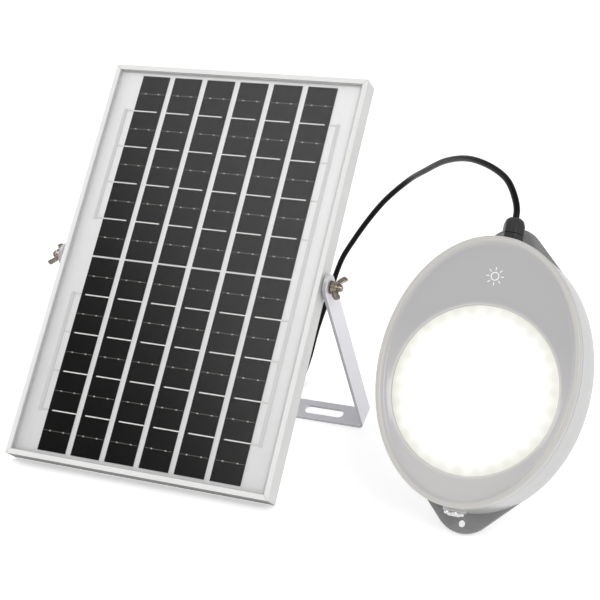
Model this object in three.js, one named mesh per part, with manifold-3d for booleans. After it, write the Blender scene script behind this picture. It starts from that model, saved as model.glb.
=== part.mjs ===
// Solar flood light: a framed solar panel on a folding U-bracket, and an oval
// lamp that leans back beside it, joined by one round cable.
// Units are millimetres, +Z is up, the panel faces -Y. The origin is on the
// floor, in the middle of the object's plan.
import * as THREE from 'three';
import { mergeVertices } from 'three/addons/utils/BufferGeometryUtils.js';
import Module from 'manifold-3d';

const wasm = await Module();
wasm.setup();

// ---------------------------------------------------------------- dimensions
const DEG = Math.PI / 180;
const GAP = 0.3;                 // clearance between pieces that touch

// Where the two units stand, before the plan is centred on the origin.
const PLAN_CENTRE = { x: 102.79, y: 91.61 };
const PANEL_LEAN = 34.7 * DEG;   // from vertical
const LAMP_LEAN = 28 * DEG;
const LAMP_TURN = -2.7 * DEG;
const LAMP_FOOT = { x: 261.1, y: 10.4 };

// Panel frame, a mitred aluminium channel.
const PANEL = { width: 235, height: 352, depth: 17 };
const FRAME_WALL = 1.6;
const FRAME_LIP = 4.2;
const GROOVE = { top: -1.2, bottom: -5.4 };
const SHELF_BOTTOM = -6.8;
const REAR_FLANGE = 9;
const MITRE_GAP = 0.1;

// Laminate, front to back, as depths below the frame's front face.
const LAMINATE = {
  glass: [-1.4, -3.6],
  ribbon: [-3.7, -3.9],
  cell: [-4.05, -4.35],
  backsheet: [-4.5, -5.2],
};
const LAMINATE_INSET = 1.9;
const COLUMNS = 6;
const CELL = { width: 26.2, height: 167.4, columnGap: 5, halfGap: 1.6 };
const RIBBON_WIDTH = 1.5;
const RIBBONS_PER_CELL = 4;

// Pivot through the middle of the frame's side walls.
const PIVOT_DEPTH = -11.1;
const BOLT_R = 3;
const CLEAR_R = 3.25;
const SPACER = 2;

// U-bracket, bent from flat strip; the bar stands on its front edge.
const STRIP = { thickness: 2.5, width: 20, bendR: 5 };
const LEG = 167;                 // pivot to the bar's outer face
const LEG_INNER_X = PANEL.width / 2 + SPACER + GAP;
const LEG_OUTER_X = LEG_INNER_X + STRIP.thickness;
const SLOT = { length: 36, width: 8.5, centreX: LEG_OUTER_X - 40 };

// Junction box behind the panel, its gland on the right-hand side.
const BOX = { width: 62, height: 56, depth: 17.5, centreV: 46, wall: 2, lid: 4, chamfer: 3 };
const BOX_GLAND = { y: BOX.centreV - 16, z: PIVOT_DEPTH - 4, hole: 3.6, neck: 3.4 };

// Wing nut and washer on each M6 pivot bolt.
const WASHER = { radius: 5.5, thickness: 1.2 };
const NUT = { footR: 5.2, hubR: 4.6, height: 5, wingHalf: 1.2, turn: 67 * DEG };
const BOLT = { headAcross: 8, headHeight: 3.5, pastNut: 8.5 };

// Lamp, in its own frame: X across, Y up its face, Z out of its front.
const LAMP = { a: 75, b: 99.5, flareA: 1.5, flareB: 0.8, wallTop: 33, front: 40 };
const LAMP_WALL = 2.4;
const LAMP_FLOOR = 3;
const EAR = { tip: 115.4, radius: 24, thickness: 3, holeY: 108.3, holeR: 2.5 };
const LENS = { r: 62.3, y: -14 };
const SCREWS = [[-50, 55], [50, 55], [-42, -73], [42, -73]];
const GLAND = { x: 2, z: 20, hexAcross: 14.6, thread: 6, bore: 4.6, flangeEnd: 106, end: 118.4 };
const SWITCH = { x: 0, z: 24, barrel: 6, flange: 7.6, bore: 5.2, button: 4.9 };
const WALL_HOLE_R = 6.3;
const WALL_PAD = { y: 101.5, r: 8.8, start: 97.5 };
const SCREW_BOSS = { r: 4, top: 30, pilot: 1.8, recess: 3.1 };
const BOARD_Z = { bottom: 20, top: 21.6 };
const CELL_18650 = { r: 9.2, length: 66, rows: [52, 71.5] };
const BOARD_THICKNESS = 1.6;

// Cable.
const CORD_D = 5;
const COIL = { x: -50, y: 235, meanR: 29.5, turnsAcross: 3, layers: 4 };

// The bracket's lean follows from its bar standing on the floor.
const HALF_HEIGHT = PANEL.height / 2;
const PIVOT = (() => {
  const behind = PANEL.depth + PIVOT_DEPTH;
  return {
    y: HALF_HEIGHT * Math.sin(PANEL_LEAN) - behind * Math.cos(PANEL_LEAN),
    z: HALF_HEIGHT * Math.cos(PANEL_LEAN) + behind * Math.sin(PANEL_LEAN),
  };
})();
const LEG_REACH = Math.hypot(LEG, STRIP.width / 2);
const LEG_LEAN = Math.acos(PIVOT.z / LEG_REACH) + Math.atan2(STRIP.width / 2, LEG);

// ----------------------------------------------------------------- materials
const material = (color, roughness, metalness = 0, extra = {}) =>
  new THREE.MeshStandardMaterial({ color, roughness, metalness, ...extra });

const MATERIALS = {
  anodised: () => material(0xd6d7da, 0.38, 0.8),
  glass: () => material(0xe9eff2, 0.06, 0, { transparent: true, opacity: 0.3 }),
  silicon: () => material(0x1b1c20, 0.35, 0.1),
  ribbon: () => material(0xd9d9d6, 0.35, 0.8),
  backsheet: () => material(0xe4e5e8, 0.6),
  bracketPaint: () => material(0xdedce4, 0.45),
  zinc: () => material(0xb4ab98, 0.32, 0.9),
  nylon: () => material(0xe6e4dc, 0.6),
  lampGrey: () => material(0xbab9bb, 0.3),
  lampBody: () => material(0xa9a7a8, 0.28),
  opal: () => material(0xfbfcf6, 0.5),
  rubber: () => material(0x222223, 0.8),
  board: () => material(0xf0f0ec, 0.5),
  circuit: () => material(0x1d5a34, 0.5),
  battery: () => material(0x2f6fae, 0.4),
  blackPlastic: () => material(0x1b1b1d, 0.45),
  steel: () => material(0xc9cbce, 0.25, 0.95),
  cable: () => material(0x121213, 0.5),
};

// ------------------------------------------------------------------- helpers
const model = new THREE.Group();
model.position.set(-PLAN_CENTRE.x, -PLAN_CENTRE.y, 0);

function addPart(parent, name, geometry, finish) {
  const mesh = new THREE.Mesh(geometry, MATERIALS[finish]());
  mesh.name = name;
  parent.add(mesh);
  return mesh;
}

function weld(geometry) {
  const bare = geometry.clone();
  bare.deleteAttribute('normal');
  bare.deleteAttribute('uv');
  return mergeVertices(bare, 1e-4);
}

function toSolid(geometry) {
  const welded = weld(geometry);
  const vertProperties = new Float32Array(welded.attributes.position.array);
  const triVerts = new Uint32Array(welded.index.array);
  return new wasm.Manifold(new wasm.Mesh({ numProp: 3, vertProperties, triVerts }));
}

function toGeometry(solid) {
  const result = solid.getMesh();
  const geometry = new THREE.BufferGeometry();
  geometry.setAttribute('position', new THREE.BufferAttribute(result.vertProperties, 3));
  geometry.setIndex(new THREE.BufferAttribute(result.triVerts, 1));
  geometry.computeVertexNormals();
  return geometry;
}

// Joins the first solid with `added` and takes `cut` away from the result.
function combine(base, added = [], cut = []) {
  let solid = toSolid(base);
  for (const piece of added) solid = solid.add(toSolid(piece));
  for (const piece of cut) solid = solid.subtract(toSolid(piece));
  return toGeometry(solid);
}

function block(x, y, z) {
  const geometry = new THREE.BoxGeometry(x[1] - x[0], y[1] - y[0], z[1] - z[0]);
  return geometry.translate((x[0] + x[1]) / 2, (y[0] + y[1]) / 2, (z[0] + z[1]) / 2);
}

// A flat outline of [x, y] points, from z0 to z1.
function plate(shape, z0, z1, curveSegments = 12) {
  const options = { depth: z1 - z0, bevelEnabled: false, curveSegments };
  return new THREE.ExtrudeGeometry(shape, options).translate(0, 0, z0);
}

function outline(points) {
  return new THREE.Shape(points.map(([x, y]) => new THREE.Vector2(x, y)));
}

// A turned piece about Z: `profile` lists [radius, z] from axis to axis, or a
// closed loop for a ring, in either direction.
function turned(profile, segments = 32) {
  const points = profile.map(([r, z]) => new THREE.Vector2(r, z));
  if (THREE.ShapeUtils.area(points) < 0) points.reverse();
  return new THREE.LatheGeometry(points, segments).rotateX(Math.PI / 2);
}

function rod(radius, z0, z1, segments = 24) {
  return turned([[0, z0], [radius, z0], [radius, z1], [0, z1]], segments);
}

function tubeRing(inner, outer, z0, z1, segments = 32) {
  const profile = [[inner, z0], [outer, z0], [outer, z1], [inner, z1], [inner, z0]];
  return turned(profile, segments);
}

function hexagon(across) {
  const radius = across / 2 / Math.cos(30 * DEG);
  const corners = [0, 1, 2, 3, 4, 5].map((i) => i * 60 * DEG);
  return outline(corners.map((t) => [radius * Math.cos(t), radius * Math.sin(t)]));
}

// Turns a piece made along +Z so that it points along +X, -X, +Y or -Y.
const POINT_ALONG = {
  '+x': (g) => g.rotateY(Math.PI / 2),
  '-x': (g) => g.rotateY(-Math.PI / 2),
  '+y': (g) => g.rotateX(-Math.PI / 2),
  '-y': (g) => g.rotateX(Math.PI / 2),
};

function slotShape(length, width) {
  const r = width / 2;
  const half = length / 2 - r;
  const shape = new THREE.Shape();
  shape.moveTo(-half, -r);
  shape.lineTo(half, -r);
  shape.absarc(half, 0, r, -Math.PI / 2, Math.PI / 2, false);
  shape.lineTo(-half, r);
  shape.absarc(-half, 0, r, Math.PI / 2, Math.PI * 1.5, false);
  return shape;
}

// Skins a body through oval rings { a, b, y, z }. A ring with a = 0 is a point
// on the axis; a list whose last ring repeats the first closes on itself.
function ovalBody(ringList, segments = 60) {
  const section = ringList.map(({ a, z }) => new THREE.Vector2(a, z));
  const rings = THREE.ShapeUtils.area(section) < 0 ? [...ringList].reverse() : ringList;
  const positions = [];
  const index = [];
  const starts = rings.map((ring) => {
    const start = positions.length / 3;
    const count = ring.a === 0 ? 1 : segments;
    for (let i = 0; i < count; i += 1) {
      const t = (i / segments) * 2 * Math.PI;
      positions.push(ring.a * Math.cos(t), (ring.y || 0) + ring.b * Math.sin(t), ring.z);
    }
    return start;
  });
  for (let r = 0; r < rings.length - 1; r += 1) {
    for (let i = 0; i < segments; i += 1) {
      const next = (i + 1) % segments;
      const low = rings[r].a === 0 ? [0, 0] : [i, next];
      const high = rings[r + 1].a === 0 ? [0, 0] : [i, next];
      const [p, q] = low.map((k) => starts[r] + k);
      const [s, t] = high.map((k) => starts[r + 1] + k);
      if (rings[r].a !== 0) index.push(p, q, t);
      if (rings[r + 1].a !== 0) index.push(p, t, s);
    }
  }
  const geometry = new THREE.BufferGeometry();
  geometry.setAttribute('position', new THREE.Float32BufferAttribute(positions, 3));
  geometry.setIndex(index);
  return weld(geometry);
}

// A round tube through hand-placed route points.
function tube(route, diameter, steps) {
  const path = new THREE.CatmullRomCurve3(route.map((p) => new THREE.Vector3(...p)));
  const section = new THREE.Shape();
  section.absarc(0, 0, diameter / 2, 0, 2 * Math.PI, false);
  const options = { steps, extrudePath: path, curveSegments: 5 };
  return new THREE.ExtrudeGeometry(section, options);
}

// --------------------------------------------------------------------- panel
// Panel frame of reference: X across, Y up the panel, Z out of its front face,
// origin at the middle of the front face.
const panel = new THREE.Group();
panel.rotation.x = Math.PI / 2 - PANEL_LEAN;
panel.position.set(
  0,
  HALF_HEIGHT * Math.sin(PANEL_LEAN) - PANEL.depth * Math.cos(PANEL_LEAN),
  HALF_HEIGHT * Math.cos(PANEL_LEAN) + PANEL.depth * Math.sin(PANEL_LEAN),
);
model.add(panel);

// One mitred length of channel along X, its outer side facing -Y.
function frameBar(length) {
  const profile = outline([
    [0, 0], [0, -PANEL.depth], [REAR_FLANGE, -PANEL.depth],
    [REAR_FLANGE, -PANEL.depth + FRAME_WALL], [FRAME_WALL, -PANEL.depth + FRAME_WALL],
    [FRAME_WALL, SHELF_BOTTOM], [FRAME_LIP + 1.4, SHELF_BOTTOM],
    [FRAME_LIP + 1.4, GROOVE.bottom], [FRAME_WALL, GROOVE.bottom],
    [FRAME_WALL, GROOVE.top], [FRAME_LIP, GROOVE.top], [FRAME_LIP, 0],
  ]);
  const bar = plate(profile, 0, 1);
  const position = bar.attributes.position;
  for (let i = 0; i < position.count; i += 1) {
    const inward = position.getX(i);
    const end = length / 2 - inward - MITRE_GAP;
    position.setXYZ(i, position.getZ(i) > 0.5 ? end : -end, inward, position.getY(i));
  }
  return weld(bar);
}

function addFrame() {
  const across = frameBar(PANEL.width).translate(0, -HALF_HEIGHT, 0);
  addPart(panel, 'frame_bottom', across, 'anodised');
  addPart(panel, 'frame_top', across.clone().rotateZ(Math.PI), 'anodised');
  const side = frameBar(PANEL.height).translate(0, -PANEL.width / 2, 0);
  const hole = POINT_ALONG['+x'](rod(CLEAR_R, -PANEL.width, PANEL.width));
  hole.translate(0, 0, PIVOT_DEPTH);
  const right = combine(side.rotateZ(Math.PI / 2), [], [hole]);
  addPart(panel, 'frame_right', right, 'anodised');
  addPart(panel, 'frame_left', right.clone().rotateZ(Math.PI), 'anodised');
}

// Angle pieces that stiffen the mitred corners, inside the channel.
function addCornerKeys() {
  const arm = 26;
  const inset = FRAME_WALL + GAP;
  const key = outline([
    [inset, inset], [arm, inset], [arm, inset + 3], [inset + 3, inset + 3],
    [inset + 3, arm], [inset, arm],
  ]);
  const depth = [-PANEL.depth + FRAME_WALL + GAP, SHELF_BOTTOM - GAP];
  const corners = [['lower_left', 1, 1], ['lower_right', -1, 1], ['upper_left', 1, -1],
    ['upper_right', -1, -1]];
  for (const [place, sx, sy] of corners) {
    const turn = { '1,1': 0, '-1,1': 90, '-1,-1': 180, '1,-1': 270 }[`${sx},${sy}`] * DEG;
    const piece = plate(key, depth[0], depth[1]).rotateZ(turn);
    piece.translate((-sx * PANEL.width) / 2, (-sy * PANEL.height) / 2, 0);
    addPart(panel, `corner_key_${place}`, piece, 'zinc');
  }
}

function sheet(depths, inset) {
  const x = PANEL.width / 2 - inset;
  const y = HALF_HEIGHT - inset;
  return block([-x, x], [-y, y], [depths[1], depths[0]]);
}

function addLaminate() {
  addPart(panel, 'front_glass', sheet(LAMINATE.glass, LAMINATE_INSET), 'glass');
  addPart(panel, 'backsheet', sheet(LAMINATE.backsheet, LAMINATE_INSET), 'backsheet');
  const pitch = CELL.width + CELL.columnGap;
  const low = CELL.halfGap / 2;
  for (const [half, sign] of [['upper', 1], ['lower', -1]]) {
    const span = [sign * low, sign * (low + CELL.height)].sort((p, q) => p - q);
    for (let column = 0; column < COLUMNS; column += 1) {
      const x = (column - (COLUMNS - 1) / 2) * pitch;
      const cell = block([x - CELL.width / 2, x + CELL.width / 2], span,
        [LAMINATE.cell[1], LAMINATE.cell[0]]);
      addPart(panel, `cell_${half}_${column + 1}`, cell, 'silicon');
    }
    addPart(panel, `string_ribbons_${half}`, ribbonComb(sign, pitch), 'ribbon');
  }
}

// The soldered ribbons of one half, joined by the bus ribbon in one margin.
function ribbonComb(sign, pitch) {
  const depths = [LAMINATE.ribbon[1], LAMINATE.ribbon[0]];
  const reach = (COLUMNS * pitch - CELL.columnGap) / 2 + 6;
  const spacing = CELL.height / (RIBBONS_PER_CELL + 1);
  const first = sign * (CELL.halfGap / 2 + spacing);
  const last = sign * (CELL.halfGap / 2 + RIBBONS_PER_CELL * spacing);
  const y = [Math.min(first, last), Math.max(first, last)];
  const bus = block([sign * reach - 2, sign * reach + 2], [y[0] - 2, y[1] + 2], depths);
  const bars = [];
  for (let i = 1; i <= RIBBONS_PER_CELL; i += 1) {
    const at = sign * (CELL.halfGap / 2 + i * spacing);
    bars.push(block([-reach, reach], [at - RIBBON_WIDTH / 2, at + RIBBON_WIDTH / 2], depths));
  }
  return combine(bus, bars);
}

function addJunctionBox() {
  const top = LAMINATE.backsheet[1] - GAP;
  const x = BOX.width / 2;
  const y = [BOX.centreV - BOX.height / 2, BOX.centreV + BOX.height / 2];
  const lidJoint = top - BOX.depth + BOX.lid;
  const shell = block([-x, x], y, [lidJoint, top]);
  const hollow = block([-x + BOX.wall, x - BOX.wall], [y[0] + BOX.wall, y[1] - BOX.wall],
    [lidJoint - 1, top - BOX.wall]);
  const glandHole = POINT_ALONG['+x'](rod(BOX_GLAND.hole, x - 6, x + 6));
  glandHole.translate(0, BOX_GLAND.y, BOX_GLAND.z);
  addPart(panel, 'junction_box', combine(shell, [], [hollow, glandHole]), 'blackPlastic');
  const c = BOX.chamfer;
  const lid = outline([[-x, y[0] + c], [-x + c, y[0]], [x - c, y[0]], [x, y[0] + c],
    [x, y[1] - c], [x - c, y[1]], [-x + c, y[1]], [-x, y[1] - c]]);
  const lidPlate = plate(lid, lidJoint - BOX.lid, lidJoint - GAP);
  addPart(panel, 'junction_box_lid', lidPlate, 'blackPlastic');
  const bore = CORD_D / 2 + GAP;
  const neck = BOX_GLAND.neck;
  const collar = turned([[bore, -2], [neck, -2], [neck, GAP], [5.2, GAP], [5.2, 5],
    [4.6, 12], [bore, 13], [bore, -2]], 24);
  POINT_ALONG['+x'](collar).translate(x, BOX_GLAND.y, BOX_GLAND.z);
  addPart(panel, 'junction_box_gland', collar, 'blackPlastic');
}

// ------------------------------------------------------------- pivot hardware
function wingNut() {
  const hub = turned([[0, 0], [NUT.footR, 0], [NUT.footR, 1.5], [NUT.hubR, NUT.height],
    [0, NUT.height]], 24);
  const wing = new THREE.Shape();
  wing.moveTo(2, 1.2);
  wing.lineTo(5, 1);
  wing.quadraticCurveTo(9, 2.6, 11.6, 5.4);
  wing.absarc(10.2, 7.9, 2.4, -0.7, Math.PI * 0.75, false);
  wing.quadraticCurveTo(5.4, 6.2, 2, 4.8);
  const half = NUT.wingHalf;
  const makeWing = (turn) => plate(wing, -half, half, 6).rotateX(Math.PI / 2).rotateZ(turn);
  const bore = rod(CLEAR_R, -1, 20);
  return combine(hub, [makeWing(0), makeWing(Math.PI)], [bore]);
}

// Everything on one pivot, laid out along +X from the frame's side wall.
function addPivot(place, sign) {
  const along = sign > 0 ? '+x' : '-x';
  const put = (name, geometry, finish, turn = 0) => {
    const piece = POINT_ALONG[along](geometry);
    piece.rotateX(turn).translate(0, 0, PIVOT_DEPTH);
    addPart(panel, `${name}_${place}`, piece, finish);
  };
  const wall = PANEL.width / 2 - FRAME_WALL - 0.1;
  const head = plate(hexagon(BOLT.headAcross), wall - BOLT.headHeight, wall);
  const washer = LEG_OUTER_X + GAP;
  const nut = washer + WASHER.thickness + GAP;
  const shank = rod(BOLT_R, wall - 1, nut + BOLT.pastNut);
  put('pivot_bolt', combine(head, [shank]), 'zinc', 30 * DEG);
  const spacerStart = PANEL.width / 2 + GAP / 2;
  put('spacer', tubeRing(CLEAR_R, 6, spacerStart, spacerStart + SPACER), 'nylon');
  const disc = tubeRing(CLEAR_R, WASHER.radius, washer, washer + WASHER.thickness);
  put('flat_washer', disc, 'zinc');
  put('wing_nut', wingNut().translate(0, 0, nut), 'zinc', NUT.turn);
}

// ------------------------------------------------------------------- bracket
// Bracket frame of reference: origin on the pivot, Y from the bar towards it.
const bracket = new THREE.Group();
bracket.position.set(0, PIVOT.y, PIVOT.z);
bracket.rotation.x = Math.PI / 2 + LEG_LEAN;
model.add(bracket);

function addBracket() {
  const outer = LEG_OUTER_X;
  const inner = LEG_INNER_X;
  const top = STRIP.width / 2;
  const bar = -LEG + STRIP.thickness;
  const bend = STRIP.bendR;
  const strip = new THREE.Shape();
  strip.moveTo(-outer, top);
  strip.lineTo(-outer, -LEG + bend);
  strip.absarc(-outer + bend, -LEG + bend, bend, Math.PI, Math.PI * 1.5, false);
  strip.lineTo(outer - bend, -LEG);
  strip.absarc(outer - bend, -LEG + bend, bend, -Math.PI / 2, 0, false);
  strip.lineTo(outer, top);
  strip.lineTo(inner, top);
  strip.lineTo(inner, -LEG + bend);
  strip.absarc(outer - bend, -LEG + bend, bend - STRIP.thickness, 0, -Math.PI / 2, true);
  strip.lineTo(-outer + bend, bar);
  strip.absarc(-outer + bend, -LEG + bend, bend - STRIP.thickness, -Math.PI / 2,
    -Math.PI, true);
  strip.lineTo(-inner, top);
  const side = new THREE.Shape();
  side.moveTo(-top, -LEG - 1);
  side.lineTo(top, -LEG - 1);
  side.lineTo(top, 0);
  side.absarc(0, 0, top, 0, Math.PI, false);
  const rounded = POINT_ALONG['-x'](plate(side, -outer - 1, outer + 1, 16));
  const blank = toSolid(plate(strip, -top, top, 6)).intersect(toSolid(rounded));
  const slots = [-1, 1].map((s) => {
    const cutter = plate(slotShape(SLOT.length, SLOT.width), LEG - 10, LEG + 10, 10);
    return POINT_ALONG['-y'](cutter).translate(s * SLOT.centreX, 0, 0);
  });
  const pivotHole = POINT_ALONG['+x'](rod(CLEAR_R, -outer - 5, outer + 5));
  const cut = [...slots, pivotHole];
  addPart(bracket, 'bracket', combine(toGeometry(blank), [], cut), 'bracketPaint');
}

// ---------------------------------------------------------------------- lamp
const lamp = new THREE.Group();
lamp.rotation.set(Math.PI / 2 - LAMP_LEAN, 0, LAMP_TURN, 'ZYX');
lamp.position.set(
  LAMP_FOOT.x - Math.sin(LAMP_TURN) * EAR.tip * Math.sin(LAMP_LEAN),
  LAMP_FOOT.y + Math.cos(LAMP_TURN) * EAR.tip * Math.sin(LAMP_LEAN),
  EAR.tip * Math.cos(LAMP_LEAN),
);
model.add(lamp);

// Half sizes of the side wall's outer face at height z.
function wallRing(z, inset = 0) {
  const share = 1 - z / LAMP.front;
  return {
    a: LAMP.a + LAMP.flareA * share - inset,
    b: LAMP.b + LAMP.flareB * share - inset,
    z,
  };
}

// A mounting ear: a round tip with flanks that run to the wall at 45 degrees.
function ear(sign) {
  const centre = EAR.tip - EAR.radius;
  const run = 34;
  const shape = new THREE.Shape();
  const corner = EAR.radius * Math.SQRT1_2;
  shape.moveTo(corner, centre + corner);
  shape.absarc(0, centre, EAR.radius, Math.PI / 4, Math.PI * 0.75, false);
  shape.lineTo(-corner - run, centre + corner - run);
  shape.lineTo(corner + run, centre + corner - run);
  const piece = plate(shape, 0, EAR.thickness, 16);
  return sign > 0 ? piece : piece.rotateZ(Math.PI);
}

function addHousing() {
  const shell = ovalBody([
    { a: 0, b: 0, z: 0 }, wallRing(0, 1.2), wallRing(1.2), wallRing(16),
    wallRing(LAMP.wallTop), wallRing(LAMP.wallTop, LAMP_WALL),
    { ...wallRing(6, LAMP_WALL + 0.4) }, { ...wallRing(LAMP_FLOOR, LAMP_WALL + 3) },
    { a: 0, b: 0, z: LAMP_FLOOR },
  ]);
  const throughWall = (along, r, y0, y1, { x, z }) => {
    return POINT_ALONG[along](rod(r, y0, y1)).translate(x, 0, z);
  };
  const pad = (along, at) => throughWall(along, WALL_PAD.r, WALL_PAD.start, WALL_PAD.y, at);
  const hole = (along, at) => throughWall(along, WALL_HOLE_R, 90, 110, at);
  const atScrews = (r, z0, z1) => SCREWS.map(([x, y]) => rod(r, z0, z1, 20).translate(x, y, 0));
  const bosses = atScrews(SCREW_BOSS.r, LAMP_FLOOR - 1, SCREW_BOSS.top);
  const recesses = atScrews(SCREW_BOSS.recess, -1, 2);
  const shanks = atScrews(SCREW_BOSS.pilot, -1, SCREW_BOSS.top + 1);
  const earHoles = [-1, 1].map((s) => rod(EAR.holeR, -1, 5).translate(0, s * EAR.holeY, 0));
  const boardPosts = [[-40, -54], [40, -54], [-40, 26], [40, 26]].map(
    ([x, y]) => rod(3, LAMP_FLOOR - 1, BOARD_Z.bottom - 0.4, 16).translate(x, y, 0),
  );
  const added = [ear(1), ear(-1), pad('+y', GLAND), pad('-y', SWITCH), ...bosses,
    ...boardPosts];
  const cut = [hole('+y', GLAND), hole('-y', SWITCH), ...recesses, ...shanks, ...earHoles];
  addPart(lamp, 'lamp_housing', combine(shell, added, cut), 'lampBody');
}

function addBezel() {
  const hole = (r, z) => ({ a: r, b: r, y: LENS.y, z });
  const rim = (inset, z) => ({ a: LAMP.a - inset, b: LAMP.b - inset, z });
  const rings = [
    rim(0.2, 34), rim(-0.1, 38.6), rim(0.8, LAMP.front), rim(3.4, LAMP.front),
    rim(4.6, 39), rim(6.2, 37), hole(63.4, 35.6), hole(62.6, 34.8), hole(62.6, 32),
    hole(64, 32), rim(6.2, 34), rim(0.2, 34),
  ];
  const start = SCREW_BOSS.top + GAP;
  const posts = SCREWS.map(([x, y]) => rod(3.4, start, 35, 16).translate(x, y, 0));
  const pilots = SCREWS.map(([x, y]) => {
    return rod(SCREW_BOSS.pilot, start - 1, 33.9, 16).translate(x, y, 0);
  });
  addPart(lamp, 'lamp_bezel', combine(ovalBody(rings), posts, pilots), 'lampGrey');
}

function addLens() {
  const r = LENS.r;
  const profile = [[0, 36], [30, 35.9], [54, 35.5], [r - 0.8, 34.9], [r, 34.2], [r, 31.6],
    [66, 31.6], [66, 30], [60, 30], [60, 33], [54, 33.7], [0, 34.2]];
  addPart(lamp, 'diffuser', turned(profile, 48).translate(0, LENS.y, 0), 'opal');
}

function addSeal() {
  const low = LAMP.wallTop + 0.15;
  const high = 34 - 0.15;
  const loop = [wallRing(low, 0.5), wallRing(high, 0.5), wallRing(high, LAMP_WALL - 0.3),
    wallRing(low, LAMP_WALL - 0.3), wallRing(low, 0.5)];
  addPart(lamp, 'cover_seal', ovalBody(loop), 'rubber');
}

// Round board with rings of square LEDs, densest at the edge.
function addLedBoard() {
  const board = rod(57, BOARD_Z.bottom, BOARD_Z.top, 48);
  const leds = [];
  for (const [count, radius] of [[30, 53], [20, 38], [10, 23], [4, 9]]) {
    for (let i = 0; i < count; i += 1) {
      const height = [BOARD_Z.top - 0.2, BOARD_Z.top + 0.8];
      const led = block([radius - 1.75, radius + 1.75], [-1.4, 1.4], height);
      leds.push(led.rotateZ((i / count) * 2 * Math.PI));
    }
  }
  const geometry = combine(board, leds).translate(0, LENS.y, 0);
  addPart(lamp, 'led_board', geometry, 'board');
}

function addBatteryAndControl() {
  const floor = LAMP_FLOOR + GAP;
  const { r, length, rows } = CELL_18650;
  rows.forEach((y, i) => {
    const profile = [[0, -length / 2], [r - 0.8, -length / 2], [r, -length / 2 + 0.8],
      [r, length / 2 - 1.6], [r - 0.8, length / 2 - 0.8], [3, length / 2 - 0.8],
      [3, length / 2], [0, length / 2]];
    const cell = POINT_ALONG['+x'](turned(profile));
    cell.translate(0, y, floor + BOARD_THICKNESS + GAP + r);
    addPart(lamp, `battery_cell_${i + 1}`, cell, 'battery');
  });
  const end = length / 2 + GAP;
  const yspan = [rows[0] - 10, rows[1] + 9];
  const tray = block([-end - 1.5, end + 1.5], yspan, [floor, floor + BOARD_THICKNESS]);
  const ends = [-1, 1].map((s) => block([s > 0 ? end : -end - 1.5, s > 0 ? end + 1.5 : -end],
    [yspan[0], yspan[1] - 6], [floor + 1, floor + 14]));
  addPart(lamp, 'battery_holder', combine(tray, ends), 'blackPlastic');
  const board = block([-30, 30], [-48, -8], [floor, floor + BOARD_THICKNESS]);
  const fitted = [[[-24, -12], [-42, -30], 8], [[4, 16], [-40, -32], 4], [[-8, 0], [-20, -12], 5],
    [[14, 26], [-24, -12], 9]];
  const blocks = fitted.map(([x, y, h]) => block(x, y, [floor + 1, floor + BOARD_THICKNESS + h]));
  addPart(lamp, 'control_board', combine(board, blocks), 'circuit');
}

function addCoverScrews() {
  SCREWS.forEach(([x, y], i) => {
    const profile = [[0, 0.2], [2.4, 0.2], [2.8, 0.7], [2.8, 1.8], [1.5, 1.8],
      [1.5, LAMP.wallTop + 0.2], [0, LAMP.wallTop + 0.6]];
    const screw = turned(profile, 16).translate(x, y, 0);
    addPart(lamp, `cover_screw_${i + 1}`, screw, 'steel');
  });
}

// Cable gland on the top wall, its axis up the lamp.
function addGland() {
  const put = (name, geometry, finish) => {
    const piece = POINT_ALONG['+y'](geometry).translate(GLAND.x, 0, GLAND.z);
    addPart(lamp, name, piece, finish);
  };
  const across = GLAND.hexAcross;
  const cord = CORD_D / 2 + GAP;
  const flange = plate(hexagon(across), WALL_PAD.y + GAP, GLAND.flangeEnd);
  const thread = rod(GLAND.thread, 88, 110, 24);
  put('gland_body', combine(flange, [thread], [rod(GLAND.bore, 87, 111)]), 'blackPlastic');
  const locknut = combine(plate(hexagon(across), 90, 94), [], [rod(WALL_HOLE_R, 80, 99)]);
  put('gland_locknut', locknut, 'blackPlastic');
  put('gland_seal', tubeRing(cord, GLAND.bore - GAP, 100, 110.4, 24), 'rubber');
  const { end } = GLAND;
  const capStart = GLAND.flangeEnd + GAP;
  const dome = turned([[0, capStart], [8.2, capStart], [8.2, 112.5], [6.6, 116.6], [4.4, end],
    [0, end]], 24);
  const hex = plate(hexagon(across), capStart, end + 1);
  const cap = toGeometry(toSolid(dome).intersect(toSolid(hex)));
  const cavity = turned([[0, 105], [WALL_HOLE_R, 105], [WALL_HOLE_R, 110.7], [cord, 113],
    [cord, 120], [0, 120]], 24);
  put('gland_cap', combine(cap, [], [cavity]), 'blackPlastic');
}

// Push switch in the bottom wall, its axis down the lamp.
function addSwitch() {
  const put = (name, geometry, finish) => {
    const piece = POINT_ALONG['-y'](geometry).translate(SWITCH.x, 0, SWITCH.z);
    addPart(lamp, name, piece, finish);
  };
  const face = WALL_PAD.y + GAP;
  const { barrel, flange, bore, button: buttonR } = SWITCH;
  const body = turned([[0, 84], [barrel, 84], [barrel, face], [flange, face],
    [flange, face + 1.4], [flange - 0.7, face + 2.2], [bore, face + 2.2], [bore, 93], [0, 93]]);
  put('switch_body', body, 'steel');
  const button = turned([[0, 96], [buttonR, 96], [buttonR, face + 2.4],
    [buttonR - 0.6, face + 3], [0, face + 3]]);
  put('power_button', button, 'steel');
}

// --------------------------------------------------------------------- cable
// Route points from the junction box's gland to the coil's top layer.
const BOX_RUN = [
  [44.3, 114.8, 169.6], [54, 115, 169.6], [64, 117.5, 168.8], [74, 123, 165.5],
  [80.5, 131.5, 159], [82, 142, 149.5], [78, 151, 137], [69, 158, 121], [56, 163.5, 103],
  [40, 169, 84], [24, 173.5, 67.5], [10, 177.5, 53], [0, 182.5, 41], [-8, 190, 29.5],
  [-13, 199, 21.5], [-15.2, 207.5, 18.2], [-15.5, 215.6, 17.5],
];
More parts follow.
